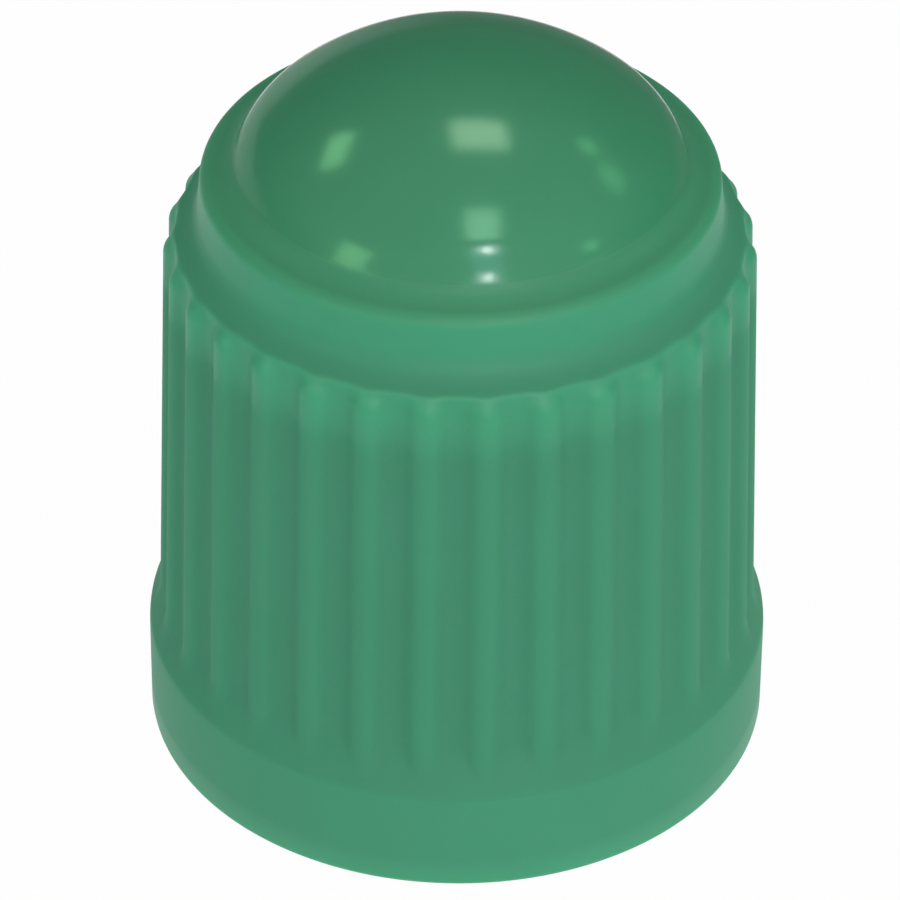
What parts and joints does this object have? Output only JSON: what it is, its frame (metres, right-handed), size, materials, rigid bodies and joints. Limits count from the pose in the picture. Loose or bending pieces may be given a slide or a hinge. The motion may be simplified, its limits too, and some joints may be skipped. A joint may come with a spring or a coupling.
{
  "type": "tyre valve cap",
  "caption": "Domed plastic screw cap with a ribbed grip and a plain flange, which closes and protects a tyre's valve stem.",
  "frame": {"origin": "centre of the mouth's flat rim, on the plane that the cap stands on", "axes": "+Z along the cap's axis, from the mouth to the top of the dome; a rib's crest lies on +Y"},
  "size_m": [0.01, 0.01, 0.0123],
  "materials": {
    "green_plastic": "moulded plastic, glossy on the dome and satin on the ribs"
  },
  "bodies": {
    "root": {"valve_cap": "green_plastic"}
  },
  "joints": []
}
